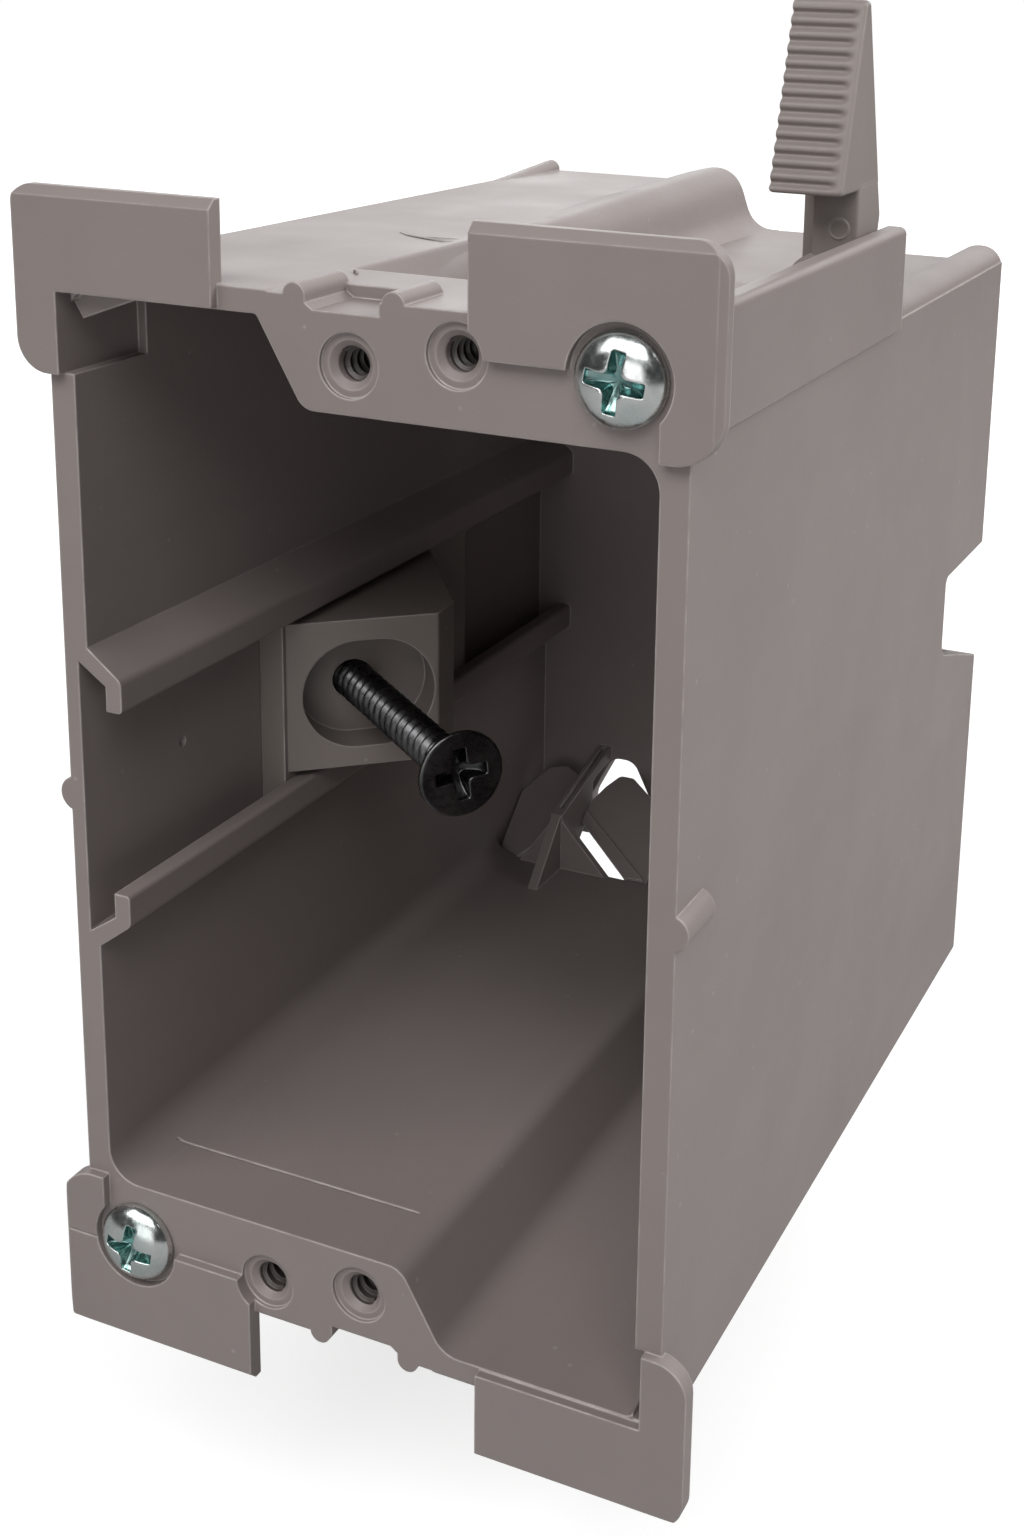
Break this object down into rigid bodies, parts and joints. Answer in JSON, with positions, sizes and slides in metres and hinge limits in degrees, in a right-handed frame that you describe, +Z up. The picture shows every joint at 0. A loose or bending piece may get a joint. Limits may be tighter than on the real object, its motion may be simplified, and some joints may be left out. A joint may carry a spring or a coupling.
{
  "type": "drywall back box",
  "caption": "Single-gang plastic back box for finished walls, with ears, swing-up clamp arms on screws, a sliding stud bracket with its screw, and sprung cable entry flaps.",
  "frame": {"origin": "centre of the box's mouth, on the plane of its rim", "axes": "-Y out of the mouth towards the room, +Y into the wall, +Z up along the box's height, +X to the right as seen from the room"},
  "size_m": [0.0628, 0.0963, 0.1386],
  "materials": {
    "shell_plastic": "satin moulded, taupe grey",
    "bracket_plastic": "satin moulded, taupe grey",
    "arm_plastic": "satin moulded, ribbed, taupe grey",
    "zinc_screw": "bright zinc plate",
    "black_screw": "black oxide, satin"
  },
  "bodies": {
    "shell": {"box_shell": "shell_plastic"},
    "bracket": {"stud_bracket": "bracket_plastic"},
    "black_screw": {"stud_screw": "black_screw"},
    "upper_screw": {"upper_clamp_screw": "zinc_screw"},
    "lower_screw": {"lower_clamp_screw": "zinc_screw"},
    "upper_arm": {"upper_clamp_arm": "arm_plastic"},
    "lower_arm": {"lower_clamp_arm": "arm_plastic"},
    "flap_lower_inner": {"lower_inner_flap": "shell_plastic"},
    "flap_lower_outer": {"lower_outer_flap": "shell_plastic"},
    "flap_upper_inner": {"upper_inner_flap": "shell_plastic"},
    "flap_upper_outer": {"upper_outer_flap": "shell_plastic"}
  },
  "joints": [
    {"name": "bracket_slide", "type": "slide", "parent": "shell", "child": "bracket", "axis": [0, 1, 0], "range_m": [-0.008, 0.01]},
    {"name": "stud_screw_drive", "type": "slide", "parent": "bracket", "child": "black_screw", "axis": [-0.7891, 0.6143, 0], "range_m": [0, 0.0235]},
    {"name": "upper_screw_turn", "type": "hinge", "parent": "shell", "child": "upper_screw", "pos_m": [0.0233, 0, 0.04317], "axis": [0, 1, 0], "range_deg": [-90, 0]},
    {"name": "upper_arm_travel", "type": "slide", "parent": "upper_screw", "child": "upper_arm", "axis": [0, -1, 0], "range_m": [0, 0.032]},
    {"name": "lower_screw_turn", "type": "hinge", "parent": "shell", "child": "lower_screw", "pos_m": [-0.0233, 0, -0.04317], "axis": [0, 1, 0], "range_deg": [-90, 0]},
    {"name": "lower_arm_travel", "type": "slide", "parent": "lower_screw", "child": "lower_arm", "axis": [0, -1, 0], "range_m": [0, 0.032]},
    {"name": "lower_inner_flap_hinge", "type": "hinge", "parent": "shell", "child": "flap_lower_inner", "pos_m": [-0.0074, 0.07855, -0.0383], "axis": [1, 0, 0], "range_deg": [0, 40], "stiffness_Nm_per_rad": 0.01, "springref_deg": -8.59},
    {"name": "lower_outer_flap_hinge", "type": "hinge", "parent": "shell", "child": "flap_lower_outer", "pos_m": [-0.0248, 0.07855, -0.0383], "axis": [1, 0, 0], "range_deg": [0, 40], "stiffness_Nm_per_rad": 0.01, "springref_deg": -8.59},
    {"name": "upper_inner_flap_hinge", "type": "hinge", "parent": "shell", "child": "flap_upper_inner", "pos_m": [0.0074, 0.07855, 0.0383], "axis": [-1, 0, 0], "range_deg": [0, 40], "stiffness_Nm_per_rad": 0.01, "springref_deg": -8.59},
    {"name": "upper_outer_flap_hinge", "type": "hinge", "parent": "shell", "child": "flap_upper_outer", "pos_m": [0.0248, 0.07855, 0.0383], "axis": [-1, 0, 0], "range_deg": [0, 40], "stiffness_Nm_per_rad": 0.01, "springref_deg": -8.59}
  ]
}
